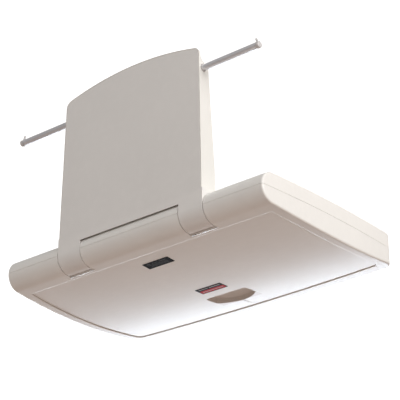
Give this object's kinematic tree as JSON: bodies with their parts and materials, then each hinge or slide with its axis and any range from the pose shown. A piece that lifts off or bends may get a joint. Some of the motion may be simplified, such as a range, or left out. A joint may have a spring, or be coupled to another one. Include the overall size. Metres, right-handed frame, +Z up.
{
  "type": "baby changing table",
  "caption": "Wall-mounted fold-down changing table: arched wall housing with bag-hook tube, round-backed bed with concave well, safety strap, gas spring hinge.",
  "frame": {"origin": "centre of the four wall bolt holes, on the wall face of the rear housing", "axes": "+Z up, +Y into the wall, -Y into the room, +X along the width; the bed is open at rest"},
  "size_m": [0.8448, 0.525, 0.5025],
  "materials": {
    "grey_plastic": "fine moulded grain",
    "cream_plastic": "fine moulded grain, satin",
    "bed_plastic": "fine moulded grain, satin",
    "tube_metal": "satin anodised",
    "cap_plastic": "smooth moulded",
    "zinc_steel": "zinc plated",
    "painted_steel": "powder coated",
    "spring_black": "gloss painted tube",
    "nylon": "natural nylon",
    "rubber": "matt",
    "webbing": "woven webbing",
    "buckle_plastic": "moulded acetal",
    "label_black": "printed film",
    "label_grey": "printed film with a muted red band"
  },
  "bodies": {
    "wall_unit": {"rear_housing": "grey_plastic", "front_cover": "cream_plastic", "wall_bracket_left": "painted_steel", "wall_bracket_right": "painted_steel", "hinge_bushes": "nylon", "stop_buffers": "rubber", "gas_cylinder": "spring_black", "gas_bracket": "painted_steel", "gas_pin": "zinc_steel", "hook_tube": "tube_metal", "hook_cap_left": "cap_plastic", "hook_cap_right": "cap_plastic", "tube_grommets": "cap_plastic", "tube_clamps": "zinc_steel", "cover_screws": "zinc_steel", "bracket_screws": "zinc_steel"},
    "bed": {"bed_shell": "bed_plastic", "bed_liner": "cream_plastic", "outer_panel": "bed_plastic", "hinge_arms_left": "painted_steel", "hinge_arms_right": "painted_steel", "support_rail_back": "zinc_steel", "support_rail_front": "zinc_steel", "hinge_shaft_left": "zinc_steel", "hinge_shaft_right": "zinc_steel", "crank_arm": "zinc_steel", "stop_levers": "zinc_steel", "strap_back": "webbing", "strap_front": "webbing", "strap_anchors": "zinc_steel", "buckle_body": "buckle_plastic", "shell_screws": "zinc_steel", "rating_label": "label_black", "pull_label": "label_grey"},
    "gas_rod": {"gas_rod": "zinc_steel"},
    "buckle_tongue": {"buckle_tongue": "buckle_plastic"}
  },
  "joints": [
    {"name": "bed_fold", "type": "hinge", "parent": "wall_unit", "child": "bed", "pos_m": [0, -0.04, -0.23], "axis": [-1, 0, 0], "range_deg": [0, 90]},
    {"name": "gas_rod_slide", "type": "slide", "parent": "wall_unit", "child": "gas_rod", "axis": [0, 0, -1], "range_m": [0, 0.03121]},
    {"name": "tongue_release", "type": "slide", "parent": "bed", "child": "buckle_tongue", "axis": [0, -1, 0], "range_m": [0, 0.03]}
  ],
  "couplings": [
    {"joint": "gas_rod_slide", "follows": "bed_fold", "m_per_rad": 0.019807}
  ]
}
